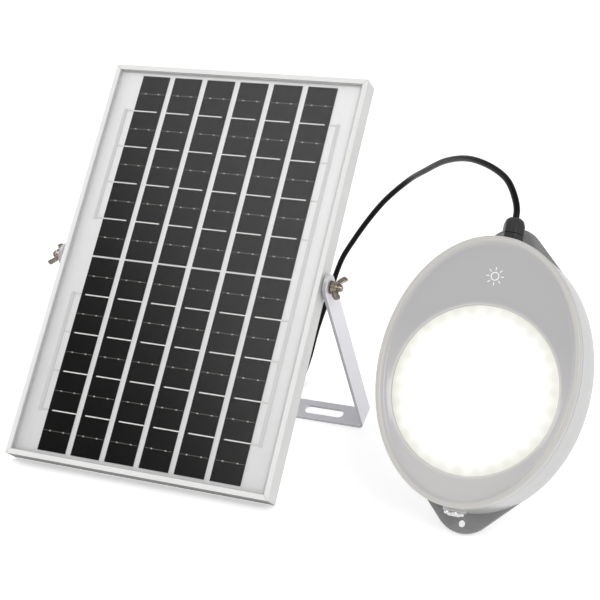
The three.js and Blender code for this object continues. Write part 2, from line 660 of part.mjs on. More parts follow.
// Route points from the coil's bottom layer, over the floor and up to the lamp.
const LAMP_RUN = [
  [-30.6, 200.5, 2.5], [-16, 200.5, 2.5], [-1, 203.5, 2.5], [13, 213, 2.6], [23, 229, 2.8],
  [27, 246, 3.1], [27, 262.3, 7.4], [28, 275, 21], [32.5, 281.5, 46], [42, 285, 77],
  [55, 286.5, 115.7], [67.5, 285.3, 136.3], [81.7, 284, 156.6], [98.9, 280.7, 177.2],
  [123, 270.5, 198.5], [148.6, 240.8, 215.5], [182, 200.2, 234.9], [213.7, 163.9, 244.9],
  [241.1, 136.7, 243.9], [254.8, 123.2, 238.6], [263.2, 112.8, 229.2], [266.9, 106, 221.5],
  [267.4, 102.5, 216.1],
];

function addCable() {
  const acrossTurns = COIL.turnsAcross * CORD_D;
  const height = COIL.layers * CORD_D;
  const inner = COIL.meanR - acrossTurns / 2;
  const outer = COIL.meanR + acrossTurns / 2;
  const bundle = tubeRing(inner, outer, 0, height, 48).translate(COIL.x, COIL.y, 0);
  addPart(model, 'cord_coil', bundle, 'cable');
  addPart(model, 'cord_box_run', tube(BOX_RUN, CORD_D, 22), 'cable');
  addPart(model, 'cord_lamp_run', tube(LAMP_RUN, CORD_D, 58), 'cable');
  const side = 2 * GAP;
  const band = side + 1;
  const strap = outline([
    [inner - band, 0.4], [inner - side, 0.4], [inner - side, height + GAP],
    [outer + side, height + GAP], [outer + side, 0.4], [outer + band, 0.4],
    [outer + band, height + band], [inner - band, height + band],
  ]);
  const tie = plate(strap, -2.5, 2.5).rotateX(Math.PI / 2);
  addPart(model, 'cord_tie', tie.rotateZ(Math.PI * 0.75).translate(COIL.x, COIL.y, 0), 'rubber');
}

// --------------------------------------------------------------------- build
addFrame();
addCornerKeys();
addLaminate();
addJunctionBox();
addPivot('right', 1);
addPivot('left', -1);
addBracket();
addHousing();
addBezel();
addLens();
addSeal();
addLedBoard();
addBatteryAndControl();
addCoverScrews();
addGland();
addSwitch();
addCable();

export default model;
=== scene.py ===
# Looks for the solar flood light: panel on a U-bracket, oval lamp and cable.
# Lengths in the dimension tables are millimetres. FLOOR and the camera's place
# are metres, as every Blender object is.
import math

import bmesh
import bpy
from mathutils import Matrix, Vector


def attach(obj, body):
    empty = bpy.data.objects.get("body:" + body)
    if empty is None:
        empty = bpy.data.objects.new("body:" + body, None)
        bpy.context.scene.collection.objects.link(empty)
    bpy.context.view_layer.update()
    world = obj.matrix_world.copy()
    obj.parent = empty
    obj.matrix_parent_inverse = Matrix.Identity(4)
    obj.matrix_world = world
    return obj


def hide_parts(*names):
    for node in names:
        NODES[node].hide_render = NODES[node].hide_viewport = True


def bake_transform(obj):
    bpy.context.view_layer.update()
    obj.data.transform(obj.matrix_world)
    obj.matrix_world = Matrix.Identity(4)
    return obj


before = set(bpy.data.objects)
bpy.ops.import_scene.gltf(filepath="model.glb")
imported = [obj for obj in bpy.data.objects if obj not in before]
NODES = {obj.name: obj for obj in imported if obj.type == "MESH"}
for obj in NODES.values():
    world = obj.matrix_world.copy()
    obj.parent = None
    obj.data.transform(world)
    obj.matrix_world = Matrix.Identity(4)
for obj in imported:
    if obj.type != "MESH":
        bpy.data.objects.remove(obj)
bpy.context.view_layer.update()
MM = 0.001
TURN = 2 * math.pi

# ---------------------------------------------------------------- dimensions
PLAN_CENTRE = (102.79, 91.61)
PANEL_LEAN = math.radians(34.7)
LAMP_LEAN = math.radians(28)
LAMP_TURN = math.radians(-2.7)
LAMP_FOOT = (261.1, 10.4)
PANEL = {"width": 235, "height": 352, "depth": 17, "lip": 4.2}
CELL = {"width": 26.2, "height": 167.4, "pitch": 31.2, "half_gap": 1.6, "columns": 6}
RIBBON_Z = (-3.9, -3.68)
RIBBON = {"width": 0.95, "per_half": 4, "short_of_edge": 3.8, "tuck": 0.6}
RIBBON_ROWS = RIBBON["per_half"] + 1
BUSBAR = {"width": 0.22, "z": (-4.03, -3.95), "inset": 0.6}
SOLDER_DOT = {"r": 0.68, "at": (0.26, 0.74), "z": (-4.03, -3.86, -3.84)}
MARGIN_BUS = {"outside": 8, "past_row": 1.5, "half_width": 1.6, "z": (-4.4, -3.95), "edge": 0.15}
TAB = {"from_cell": 0.5, "to_bus": 2, "z": (-4.2, -3.98), "width": 1.0}
BOX = {"lid_back": -23.0, "screws_x": (-25, 25), "screws_y": (23.5, 68.5)}
BOX_RIB = {"half": 0.6, "z": (-18.2, -7.0), "below": (17.2, 17.9), "above": (74.1, 74.8), "bevel": 0.15}
BOX_RIBS_AT = range(-24, 25, 6)
LAMP = {"a": 75, "b": 99.5, "flare_a": 1.5, "flare_b": 0.8, "wall_top": 33, "front": 40}
LAMP_WALL = 2.4
LENS = {"r": 62.3, "y": -14}
LED_RING = 30
SUN = {"y": 70, "z": 36.32, "slope": math.radians(1.8), "ring": (2.6, 3.2), "ink": 0.06,
       "rays": 8, "ray_x": (4.4, 6.8), "ray_y": (-0.3, 0.3)}
EAR = {"tip": 115.4, "radius": 24, "hole_y": 108.3, "hole_r": 2.5, "thickness": 3}
EAR_FLANK = 30
WALL_SEATS = (("gland_seat", 1, 2, 20), ("switch_seat", -1, 0, 24))
SEAT_PROFILE = [(0, 96), (8.8, 96), (8.8, 100.9), (8.2, 101.5), (0, 101.5)]
SCREWS = [(-50, 55), (50, 55), (-42, -73), (42, -73)]
SCREW_RECESS = {"radius": 3.1, "depth": 2}
PIVOT_DEPTH = -11.1
NUT_START = 124.1
NUT_TURN = math.radians(67)
NUT_WINGS = [
    (2.6, 2.9, 1.3, 2.0), (4.2, 3.3, 1.35, 2.3), (5.8, 4.0, 1.2, 2.6), (7.6, 5.3, 1.15, 2.8),
    (9.3, 6.8, 1.25, 2.9), (10.5, 7.8, 1.3, 2.7), (11.0, 8.2, 1.1, 2.2), (11.15, 8.35, 0.8, 1.7),
]
BOLT = {"head_r": 4.6, "head": (112.3, 115.8), "head_edge": 0.3}
THREAD = {"start": 115.6, "end": NUT_START + 8.5, "radius": 2.95, "pitch": 1.0}
CORD = {"diameter": 5, "length": 3050, "sides": 16, "step": 2.5}
COIL = {"x": -50, "y": 235, "mean_r": 29.5, "across": 3, "layers": 4, "last_turn": 0.75}
CAMERA = {"place": (0.4347, -1.00592, 0.46595), "yaw": 23.6, "pitch": -16.75, "lens": 86.69}
FLOOR = {"half": 12, "z": -0.0004}

BOX_RUN = [
    (44.3, 114.8, 169.6), (54, 115, 169.6), (64, 117.5, 168.8), (74, 123, 165.5),
    (80.5, 131.5, 159), (82, 142, 149.5), (78, 151, 137), (69, 158, 121), (56, 163.5, 103),
    (40, 169, 84), (24, 173.5, 67.5), (10, 177.5, 53), (0, 182.5, 41), (-8, 190, 29.5),
    (-13, 199, 21.5), (-15.2, 207.5, 18.2), (-15.5, 215.6, 17.5),
]
LAMP_RUN = [
    (-30.6, 200.5, 2.5), (-16, 200.5, 2.5), (-1, 203.5, 2.5), (13, 213, 2.6), (23, 229, 2.8),
    (27, 246, 3.1), (27, 262.3, 7.4), (28, 275, 21), (32.5, 281.5, 46), (42, 285, 77),
    (55, 286.5, 115.7), (67.5, 285.3, 136.3), (81.7, 284, 156.6), (98.9, 280.7, 177.2),
    (123, 270.5, 198.5), (148.6, 240.8, 215.5), (182, 200.2, 234.9), (213.7, 163.9, 244.9),
    (241.1, 136.7, 243.9), (254.8, 123.2, 238.6), (263.2, 112.8, 229.2), (266.9, 106, 221.5),
    (267.4, 102.5, 216.1),
]


def world_point(p):
    """A point of the plan's own millimetres, in the row frame's metres."""
    return Vector((p[0] - PLAN_CENTRE[0], p[1] - PLAN_CENTRE[1], p[2])) * MM


def panel_frame():
    half = PANEL["height"] / 2
    y = half * math.sin(PANEL_LEAN) - PANEL["depth"] * math.cos(PANEL_LEAN)
    z = half * math.cos(PANEL_LEAN) + PANEL["depth"] * math.sin(PANEL_LEAN)
    return Matrix.Translation(world_point((0, y, z))) @ Matrix.Rotation(math.pi / 2 - PANEL_LEAN, 4, "X")


def lamp_frame():
    reach = EAR["tip"] * math.sin(LAMP_LEAN)
    x = LAMP_FOOT[0] - math.sin(LAMP_TURN) * reach
    y = LAMP_FOOT[1] + math.cos(LAMP_TURN) * reach
    place = Matrix.Translation(world_point((x, y, EAR["tip"] * math.cos(LAMP_LEAN))))
    turn = Matrix.Rotation(LAMP_TURN, 4, "Z") @ Matrix.Rotation(math.pi / 2 - LAMP_LEAN, 4, "X")
    return place @ turn


PANEL_FRAME = panel_frame()
LAMP_FRAME = lamp_frame()


# -------------------------------------------------------------------- camera
def add_camera():
    data = bpy.data.cameras.new("camera")
    data.sensor_width = 36
    data.lens = CAMERA["lens"]
    camera = bpy.data.objects.new("camera", data)
    bpy.context.scene.collection.objects.link(camera)
    camera.location = CAMERA["place"]
    pitch = math.radians(90 + CAMERA["pitch"])
    camera.rotation_euler = (pitch, 0, math.radians(CAMERA["yaw"]))
    bpy.context.scene.camera = camera


# ----------------------------------------------------------------- materials
class Nodes:
    """Builds one Principled material with short calls."""

    def __init__(self, name):
        self.material = bpy.data.materials.new(name)
        self.material.use_nodes = True
        self.tree = self.material.node_tree
        self.bsdf = self.tree.nodes["Principled BSDF"]
        texture = self.tree.nodes.new("ShaderNodeTexCoord")
        self.coords = texture.outputs["Object"]
        self.normal = texture.outputs["Normal"]

    def new(self, kind, inputs=None, **settings):
        node = self.tree.nodes.new("ShaderNode" + kind)
        for key, value in settings.items():
            setattr(node, key, value)
        for key, value in (inputs or {}).items():
            self.put(value, node.inputs[key])
        return node

    def put(self, value, socket):
        if isinstance(value, bpy.types.NodeSocket):
            self.tree.links.new(value, socket)
        else:
            socket.default_value = value

    def set(self, **sockets):
        for key, value in sockets.items():
            self.put(value, self.bsdf.inputs[key.replace("_", " ")])

    def noise(self, scale, detail=3, stretch=(1, 1, 1), vector=None, roughness=0.5):
        mapped = self.new("Mapping", {"Vector": vector or self.coords, "Scale": stretch})
        inputs = {"Vector": mapped.outputs[0], "Scale": scale, "Detail": detail, "Roughness": roughness}
        return self.new("TexNoise", inputs).outputs["Fac"]

    def span(self, value, low, high, start=0.0, end=1.0):
        inputs = {"Value": value, "From Min": start, "From Max": end, "To Min": low, "To Max": high}
        return self.new("MapRange", inputs).outputs[0]

    def math(self, operation, a, b=0.0):
        node = self.new("Math", operation=operation)
        self.put(a, node.inputs[0])
        self.put(b, node.inputs[1])
        return node.outputs[0]

    def mix(self, factor, a, b):
        node = self.new("Mix", data_type="RGBA")
        self.put(factor, node.inputs["Factor"])
        for key, value in (("A", a), ("B", b)):
            socket = [s for s in node.inputs if s.name == key and s.type == "RGBA"][0]
            self.put((*value, 1) if isinstance(value, tuple) else value, socket)
        return [s for s in node.outputs if s.type == "RGBA"][0]

    def bump(self, height, strength, distance):
        inputs = {"Height": height, "Strength": strength, "Distance": distance}
        self.set(Normal=self.new("Bump", inputs).outputs[0])

    def axis(self, letter, vector=None):
        split = self.new("SeparateXYZ", {"Vector": vector or self.coords})
        return split.outputs[letter]

    def inside_panel(self):
        """The panel's own coordinates for a node whose mesh is in the row frame."""
        place, turn, _ = PANEL_FRAME.decompose()
        inputs = {"Vector": self.coords, "Location": place, "Rotation": turn.to_euler()}
        return self.new("Mapping", inputs, vector_type="TEXTURE").outputs[0]


def shade(colour, factor):
    return tuple(min(1.0, c * factor) for c in colour)


def mottled(n, colour, scale, spread):
    return n.mix(n.noise(scale, 4), shade(colour, 1 - spread), shade(colour, 1 + spread))


def anodised(across):
    """Satin anodised aluminium with die lines along the bar; painted shade makes its sides and underside
    greyer.
    """
    n = Nodes("anodised_" + ("across" if across else "upright"))
    own = n.inside_panel()
    stretch = (0.04, 1, 1) if across else (1, 0.04, 1)
    lines = n.noise(2600, 2, stretch, own)
    patches = n.noise(38, 4, vector=own)
    bright = n.mix(patches, (0.72, 0.72, 0.708), (0.77, 0.77, 0.757))
    underside_shade = n.mix(patches, (0.165, 0.165, 0.163), (0.20, 0.20, 0.197))
    side_shade = n.mix(patches, (0.60, 0.60, 0.592), (0.65, 0.65, 0.641))
    # Painted shade: the bar's side faces and its underside get darker copies of the anodised colour.
    side = n.span(n.math("ABSOLUTE", n.axis("X", n.normal)), 0, 1, 0.7, 0.9)
    underside = n.span(n.axis("Z", n.normal), 1, 0, -0.78, -0.6)
    colour = n.mix(underside, n.mix(side, bright, side_shade), underside_shade)
    n.set(Base_Color=colour, Metallic=0.2, Roughness=n.span(lines, 0.42, 0.6))
    n.bump(lines, 0.16, 0.00006)
    return n.material


def cover_glass():
    """Clear low-iron glass with a faint reflection."""
    n = Nodes("cover_glass")
    clear = n.new("BsdfTransparent", {"Color": (0.985, 0.985, 0.985, 1)})
    mirror = n.new("BsdfGlossy", {"Roughness": n.span(n.noise(55, 2), 0.09, 0.14)})
    facing = n.new("LayerWeight", {"Blend": 0.5}).outputs["Facing"]
    edge = n.math("MULTIPLY", n.math("POWER", facing, 5.0), 0.6)
    amount = n.math("ADD", edge, 0.034)
    mixed = n.new("MixShader", {0: amount, 1: clear.outputs[0], 2: mirror.outputs[0]})
    output = n.tree.nodes["Material Output"]
    n.tree.links.new(mixed.outputs[0], output.inputs["Surface"])
    n.tree.nodes.remove(n.bsdf)
    return n.material


def silicon():
    """Black cell with fine printed fingers along the strip."""
    n = Nodes("silicon")
    own = n.inside_panel()
    grain = n.noise(90, 5, vector=own)
    base = n.mix(grain, (0.002, 0.002, 0.0019), (0.0034, 0.0033, 0.0031))
    wave = n.new("TexWave", {"Vector": own, "Scale": 210, "Distortion": 0.0}, bands_direction="X")
    finger = n.span(wave.outputs["Fac"], 0, 0.25, 0.86, 1.0)
    n.set(Base_Color=n.mix(finger, base, (0.008, 0.008, 0.0077)), Roughness=n.span(grain, 0.5, 0.62))
    n.set(Specular_IOR_Level=0.05)
    n.bump(grain, 0.04, 0.00003)
    return n.material


def metal(name, colour, rough, scale, spread=0.06, metallic=1.0):
    n = Nodes(name)
    patches = n.noise(scale, 5)
    scratches = n.noise(scale * 5, 2, (1, 1, 0.08))
    n.set(Base_Color=n.mix(patches, shade(colour, 1 - spread), shade(colour, 1 + spread)),
          Metallic=metallic, Roughness=n.span(scratches, rough * 0.75, rough * 1.3))
    n.bump(scratches, 0.12, 0.00004)
    return n.material


def silver_paste():
    """Dull printed line; its raised solder dots are bright."""
    n = Nodes("silver_paste")
    height = n.axis("Z")
    dot = n.span(height, 0, 1, -0.00393, -0.00389)
    colour = n.mix(dot, mottled(n, (0.26, 0.25, 0.22), 300, 0.2), (0.85, 0.82, 0.72))
    n.set(Base_Color=colour, Metallic=0.2, Roughness=n.span(n.noise(700, 2), 0.4, 0.6))
    n.bump(n.noise(1500, 2), 0.2, 0.00003)
    return n.material


def paint(name, colour, rough, peel, depth, spread=0.025, coat=0.0):
    """Moulded or sprayed finish with fine orange peel."""
    n = Nodes(name)
    n.set(Base_Color=mottled(n, colour, 26, spread),
          Roughness=n.span(n.noise(70, 3), rough * 0.85, rough * 1.15))
    n.set(Coat_Weight=coat, Coat_Roughness=0.12)
    n.bump(n.noise(peel, 2), 0.3, depth)
    return n.material


def bracket_powder():
    """White powder coat, with painted shade on the bar's upper face and on the strip's edges."""
    n = Nodes("bracket_powder")
    # Painted shade on the strip's front and back edges.
    edge = n.span(n.math("ABSOLUTE", n.axis("Y", n.normal)), 0, 1, 0.6, 0.86)
    # Painted shade on the bar's upward faces.
    inside = n.span(n.axis("Z", n.normal), 0, 1, 0.6, 0.85)
    coat = mottled(n, (0.75, 0.74, 0.785), 26, 0.02)
    coat = n.mix(inside, coat, (0.56, 0.55, 0.585))
    n.set(Base_Color=n.mix(edge, coat, (0.36, 0.35, 0.37)),
          Roughness=n.span(n.noise(70, 3), 0.43, 0.57))
    n.bump(n.noise(950, 2), 0.3, 0.00009)
    return n.material


def cable_jacket():
    n = Nodes("cable_jacket")
    n.set(Base_Color=mottled(n, (0.0017, 0.0017, 0.0019), 60, 0.3),
          Roughness=n.span(n.noise(180, 3), 0.26, 0.38))
    n.set(Specular_IOR_Level=0.13)
    n.bump(n.noise(900, 2), 0.2, 0.00008)
    return n.material


def woven_strap():
    n = Nodes("woven_strap")
    wave = n.new("TexWave", {"Vector": n.coords, "Scale": 420, "Distortion": 1.0}, bands_direction="DIAGONAL")
    loops = n.noise(1500, 3)
    n.set(Base_Color=n.mix(loops, (0.008, 0.008, 0.009), (0.035, 0.035, 0.036)), Roughness=0.9)
    n.set(Sheen_Weight=0.4)
    n.bump(n.math("ADD", wave.outputs["Fac"], loops), 0.6, 0.0003)
    return n.material


def backsheet_white():
    """Laminated white film, with painted shade that darkens it a little towards the bottom edge."""
    n = Nodes("backsheet_white")
    own = n.inside_panel()
    cloud = n.noise(30, 4, vector=own)
    weave = n.noise(1100, 2, vector=own)
    film_top = n.mix(cloud, (0.82, 0.82, 0.82), (0.86, 0.86, 0.86))
    film_bottom_shade = n.mix(cloud, (0.71, 0.71, 0.71), (0.75, 0.75, 0.75))
    half = PANEL["height"] / 2 * MM
    # Painted shade: the film gets darker towards the bottom of the panel.
    upper = n.span(n.axis("Y", own), 0, 1, -half, half * 0.4)
    n.set(Base_Color=n.mix(upper, film_bottom_shade, film_top), Roughness=0.62)
    n.bump(weave, 0.12, 0.00005)
    return n.material


def lens_plane(n):
    """Coordinates from the lens's middle, in the lamp's own plane."""
    return n.axis("X"), n.math("SUBTRACT", n.axis("Y"), LENS["y"] * MM)


def lens_radius(n):
    """Distance from the lens's middle, in the lamp's own plane."""
    x, y = lens_plane(n)
    return n.math("SQRT", n.math("ADD", n.math("MULTIPLY", x, x), n.math("MULTIPLY", y, y)))


def lamp_cover_grey():
    """Grey cover: painted highlights on its raised rim, painted light paler towards its foot, and lit by the
    lens beside it as a painted glow.
    """
    n = Nodes("lamp_cover_grey")
    height = n.axis("Z")
    # Painted light: the face is paler towards the lamp's foot, as if lit from the lens.
    lower = n.span(n.axis("Y"), 1, 0, -0.088, 0.03)
    face = n.mix(lower, mottled(n, (0.405, 0.398, 0.405), 40, 0.005), (0.485, 0.472, 0.47))
    # Painted highlights: the raised rim is paler, and its top paler still.
    rim = n.mix(n.span(height, 0, 1, 0.0372, 0.0390), face, (0.455, 0.447, 0.434))
    colour = n.mix(n.span(height, 0, 1, 0.0395, 0.0399), rim, (0.50, 0.485, 0.455))
    spill = n.span(lens_radius(n), 1, 0, (LENS["r"] - 1) * MM, (LENS["r"] + 3.4) * MM)
    spill = n.math("POWER", spill, 2.2)
    n.set(Base_Color=n.mix(spill, colour, (0.60, 0.59, 0.56)),
          Roughness=n.span(n.noise(90, 3), 0.30, 0.32))
    n.set(Coat_Weight=0.15, Emission_Color=(1.0, 0.99, 0.93, 1),
          Emission_Strength=n.math("MULTIPLY", spill, 0.18))
    n.bump(n.noise(650, 2), 0.1, 0.00005)
    return n.material


def lit_diffuser():
    """Opal disc lit from behind: even in the middle, a ring of soft glows at its edge."""
    n = Nodes("lit_diffuser")
    x, y = lens_plane(n)
    radius = lens_radius(n)
    angle = n.math("ARCTAN2", y, x)
    lobes = n.span(n.math("COSINE", n.math("MULTIPLY", angle, LED_RING)), 0, 1, -1, 1)
    uneven = n.span(n.noise(45, 2), -0.0022, 0.0022, 0.3, 0.7)
    reach = n.math("ADD", n.math("ADD", n.math("MULTIPLY", lobes, 0.0026), 0.0545), uneven)
    past = n.math("SUBTRACT", radius, reach)
    limits = {"From Min": -0.005, "From Max": 0.008, "To Min": 1.0, "To Max": 0.0}
    fade = n.new("MapRange", {"Value": past, **limits}, interpolation_type="SMOOTHSTEP").outputs[0]
    glow = n.mix(fade, (0.86, 0.84, 0.73), (0.985, 1.0, 0.955))
    n.set(Base_Color=(0.42, 0.42, 0.40, 1), Roughness=0.45, Emission_Color=glow,
          Emission_Strength=n.span(fade, 0.43, 0.605))
    n.bump(n.noise(700, 2), 0.08, 0.00005)
    return n.material


def make_materials():
    return {
        "anodised_across": anodised(True),
        "anodised_upright": anodised(False),
        "glass": cover_glass(),
        "silicon": silicon(),
        "ribbon": metal("tinned_copper", (0.93, 0.92, 0.89), 0.5, 160, metallic=0.25),
        "paste": silver_paste(),
        "covered_ribbon": paint("covered_ribbon", (0.64, 0.64, 0.63), 0.6, 500, 0.00006),
        "backsheet": backsheet_white(),
        "bracket": bracket_powder(),
        "zinc": metal("nickel_plate", (0.25, 0.22, 0.172), 0.24, 240, 0.25),
        "nylon": paint("natural_nylon", (0.72, 0.71, 0.66), 0.55, 400, 0.00005),
        # The ears' darker copy of the housing paint is painted shade; the ears are one casting with the wall.
        "lamp_body": paint("lamp_casting_shaded", (0.22, 0.216, 0.22), 0.24, 420, 0.00006, coat=0.3),
        "lamp_side": paint("lamp_wall", (0.42, 0.417, 0.415), 0.3, 420, 0.00006, coat=0.3),
        "lamp_cover": lamp_cover_grey(),
        "diffuser": lit_diffuser(),
        "print": paint("white_print", (0.93, 0.93, 0.92), 0.5, 800, 0.00002),
        "rubber": paint("seal_rubber", (0.016, 0.016, 0.017), 0.75, 700, 0.0001, 0.2),
        # A grey strip that paints the shadow under the frame's lip.
        "lip_shade": paint("lip_shadow_strip", (0.42, 0.42, 0.42), 0.6, 500, 0.0001, 0.1),
        "strap": woven_strap(),
        "board": paint("board_white", (0.82, 0.82, 0.80), 0.4, 600, 0.00003),
        "circuit": paint("board_green", (0.02, 0.13, 0.05), 0.35, 500, 0.00005, 0.15),
        "battery": paint("battery_sleeve", (0.04, 0.16, 0.42), 0.25, 300, 0.00004, 0.05, 0.4),
        "black": paint("black_mould", (0.012, 0.012, 0.013), 0.38, 800, 0.00012, 0.2),
        "steel": metal("stainless", (0.66, 0.665, 0.67), 0.24, 200, 0.05),
        "cable": cable_jacket(),
    }


# --------------------------------------------------------------- mesh makers
def mesh_from(name, points, faces, smooth=35):
    mesh = bpy.data.meshes.new(name)
    mesh.from_pydata([Vector(p) * MM for p in points], [], faces)
    tidy = bmesh.new()
    tidy.from_mesh(mesh)
    bmesh.ops.remove_doubles(tidy, verts=tidy.verts, dist=1e-7)
    bmesh.ops.recalc_face_normals(tidy, faces=tidy.faces)
    tidy.to_mesh(mesh)
    tidy.free()
    mesh.shade_smooth()
    mesh.set_sharp_from_angle(angle=math.radians(smooth))
    return mesh


def loft(rings, loop=False):
    """Points and faces through rings of equal length; a ring of one point closes an end."""
    points = [p for ring in rings for p in ring]
    starts = [sum(len(r) for r in rings[:i]) for i in range(len(rings))]
    faces = []
    pairs = list(zip(range(len(rings) - 1), range(1, len(rings))))
    if loop:
        pairs.append((len(rings) - 1, 0))
    for a, b in pairs:
        size = max(len(rings[a]), len(rings[b]))
        for i in range(size):
            j = (i + 1) % size
            low = [starts[a] + i, starts[a] + j] if len(rings[a]) > 1 else [starts[a]]
            high = [starts[b] + j, starts[b] + i] if len(rings[b]) > 1 else [starts[b]]
            faces.append(low + high)
    return points, faces


def circle(radius, z, centre=(0, 0), sides=48):
    if radius == 0:
        return [(centre[0], centre[1], z)]
    steps = [TURN * i / sides for i in range(sides)]
    return [(centre[0] + radius * math.cos(t), centre[1] + radius * math.sin(t), z) for t in steps]


def oval(a, b, z, y=0.0, sides=192):
    if a == 0:
        return [(0, y, z)]
    steps = [TURN * i / sides for i in range(sides)]
    return [(a * math.cos(t), y + b * math.sin(t), z) for t in steps]


def lathe(profile, centre=(0, 0), sides=48):
    closed = profile[0][0] > 0
    return loft([circle(r, z, centre, sides) for r, z in profile], closed)


def slab(x, y, z):
    points = [(a, b, c) for c in z for b in y for a in x]
    faces = [(0, 2, 3, 1), (4, 5, 7, 6), (0, 1, 5, 4), (2, 6, 7, 3), (0, 4, 6, 2), (1, 3, 7, 5)]
    return points, faces


def joined(parts):
    points, faces = [], []
    for p, f in parts:
        shift = len(points)
        points += p
        faces += [tuple(i + shift for i in face) for face in f]
    return points, faces


def turned_to(shape, matrix):
    return [tuple(matrix @ Vector(p)) for p in shape[0]], shape[1]


def piece(name, shape, place, body, material, replaces=(), bevel=0.0, smooth=35):
    mesh = shape if isinstance(shape, bpy.types.Mesh) else mesh_from(name, *shape, smooth=smooth)
    made = bpy.data.objects.new(name, mesh)
    bpy.context.scene.collection.objects.link(made)
    made.matrix_world = place
    mesh.materials.append(material)
    if bevel:
        soften(made, bevel)
    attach(made, body)
    if replaces:
        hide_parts(*replaces)
    return made


def soften(made, width, segments=2):
    """Small rounded edges, by modifiers only."""
    weld = made.modifiers.new("weld", "WELD")
    weld.merge_threshold = 1e-6
    bevel = made.modifiers.new("bevel", "BEVEL")
    bevel.width = width * MM
    bevel.segments = segments
    bevel.limit_method = "ANGLE"
    bevel.angle_limit = math.radians(38)
    bevel.use_clamp_overlap = True
    made.modifiers.new("normals", "WEIGHTED_NORMAL")


def rounded_plate(name, outlines, z0, z1, edge):
    """A flat plate with rounded edges, from closed outlines; inner ones are holes."""
    curve = bpy.data.curves.new(name, "CURVE")
    curve.dimensions = "2D"
    curve.fill_mode = "BOTH"
    curve.extrude = ((z1 - z0) / 2 - edge) * MM
    curve.bevel_depth = edge * MM
    curve.bevel_resolution = 2
    curve.offset = -edge * MM
    for outline in outlines:
        spline = curve.splines.new("POLY")
        spline.points.add(len(outline) - 1)
        spline.use_cyclic_u = True
        for point, (x, y) in zip(spline.points, outline):
            point.co = (x * MM, y * MM, 0, 1)
    holder = bpy.data.objects.new(name, curve)
    bpy.context.scene.collection.objects.link(holder)
    bpy.context.view_layer.update()
    graph = bpy.context.evaluated_depsgraph_get()
    raw = bpy.data.meshes.new_from_object(holder.evaluated_get(graph))
    bpy.data.objects.remove(holder)
    bpy.data.curves.remove(curve)
    tidy = bmesh.new()
    tidy.from_mesh(raw)
    bmesh.ops.remove_doubles(tidy, verts=tidy.verts, dist=2e-6)
    bmesh.ops.translate(tidy, verts=tidy.verts, vec=(0, 0, (z0 + z1) / 2 * MM))
    bmesh.ops.recalc_face_normals(tidy, faces=tidy.faces)
    tidy.to_mesh(raw)
    tidy.free()
    raw.materials.clear()
    raw.shade_smooth()
    raw.set_sharp_from_angle(angle=math.radians(40))
    return raw


def combined(name, base, others, operation):
    """Joins or cuts closed shapes and returns one mesh."""
    holders = []
    for i, shape in enumerate([base, *others]):
        mesh = mesh_from(f"{name}_step_{i}", *shape)
        holder = bpy.data.objects.new(mesh.name, mesh)
        bpy.context.scene.collection.objects.link(holder)
        holders.append(holder)
    for other in holders[1:]:
        step = holders[0].modifiers.new("step", "BOOLEAN")
        step.operation = operation
        step.solver = "EXACT"
        step.object = other
    bpy.context.view_layer.update()
    graph = bpy.context.evaluated_depsgraph_get()
    result = bpy.data.meshes.new_from_object(holders[0].evaluated_get(graph))
    for holder in holders:
        bpy.data.objects.remove(holder)
    result.name = name
    result.shade_smooth()
    result.set_sharp_from_angle(angle=math.radians(35))
    return result


# --------------------------------------------------------------------- cable
def smooth_run(route, per_span=14):
    """Centripetal curve through listed points, as the CAD tubes have it."""
    points = [Vector(p) for p in route]
    padded = [points[0] * 2 - points[1], *points, points[-1] * 2 - points[-2]]
    line = []
    for p0, p1, p2, p3 in zip(padded, padded[1:], padded[2:], padded[3:]):
        d0, d1, d2 = ((b - a).length ** 0.5 for a, b in ((p0, p1), (p1, p2), (p2, p3)))
        m1 = ((p1 - p0) / d0 - (p2 - p0) / (d0 + d1) + (p2 - p1) / d1) * d1
        m2 = ((p2 - p1) / d1 - (p3 - p1) / (d1 + d2) + (p3 - p2) / d2) * d1
        for i in range(per_span):
            t = i / per_span
            cubic = p1 + m1 * t + (3 * (p2 - p1) - 2 * m1 - m2) * t * t
            line.append(cubic + (2 * (p1 - p2) + m1 + m2) * t ** 3)
    return line + [points[-1]]


def coil_run(per_turn=72, shift_part=0.18):
    """The wound turns, from the top layer's outer turn down to the bottom layer's outer turn."""
    across, layers = COIL["across"], COIL["layers"]
    d = CORD["diameter"]
    outer = COIL["mean_r"] + (across - 1) * d / 2
    seats = []
    for layer in range(layers):
        order = range(across) if layer % 2 == 0 else reversed(range(across))
        seats += [(outer - d * j, (layers - layer - 0.5) * d) for j in order]
    turns = len(seats) - 1 + COIL["last_turn"]
    line = []
    for i in range(int(turns * per_turn) + 1):
        turn, part = divmod(i / per_turn, 1)
        here = seats[int(turn)]
        after = seats[min(int(turn) + 1, len(seats) - 1)]
        t = max(0.0, (part - 1 + shift_part) / shift_part)
        t = t * t * (3 - 2 * t)
        radius, z = (here[k] + (after[k] - here[k]) * t for k in (0, 1))
        angle = TURN * part
        x, y = COIL["x"] + radius * math.cos(angle), COIL["y"] + radius * math.sin(angle)
        line.append(Vector((x, y, z)))
    return line


def even_steps(line, step):
    lengths = [0.0]
    for a, b in zip(line, line[1:]):
        lengths.append(lengths[-1] + (b - a).length)
    count = round(lengths[-1] / step)
    result, k = [], 0
    for i in range(count + 1):
        want = lengths[-1] * i / count
        while k < len(lengths) - 2 and lengths[k + 1] < want:
            k += 1
        share = (want - lengths[k]) / max(lengths[k + 1] - lengths[k], 1e-9)
        result.append(line[k].lerp(line[k + 1], share))
    return result


def tube_around(line, radius, sides):
    """A round tube whose rings turn with the line and don't twist."""
    rings = []
    side = Vector((0, 0, 1))
    last = len(line) - 1
    for i, p in enumerate(line):
        along = (line[min(i + 1, last)] - line[max(i - 1, 0)]).normalized()
        side = (side - along * side.dot(along)).normalized()
        up = along.cross(side)
        steps = [TURN * k / sides for k in range(sides)]
        rings.append([tuple(p + (side * math.cos(t) + up * math.sin(t)) * radius) for t in steps])
    start = [tuple(line[0])]
    end = [tuple(line[-1])]
    return loft([start, *rings, end])


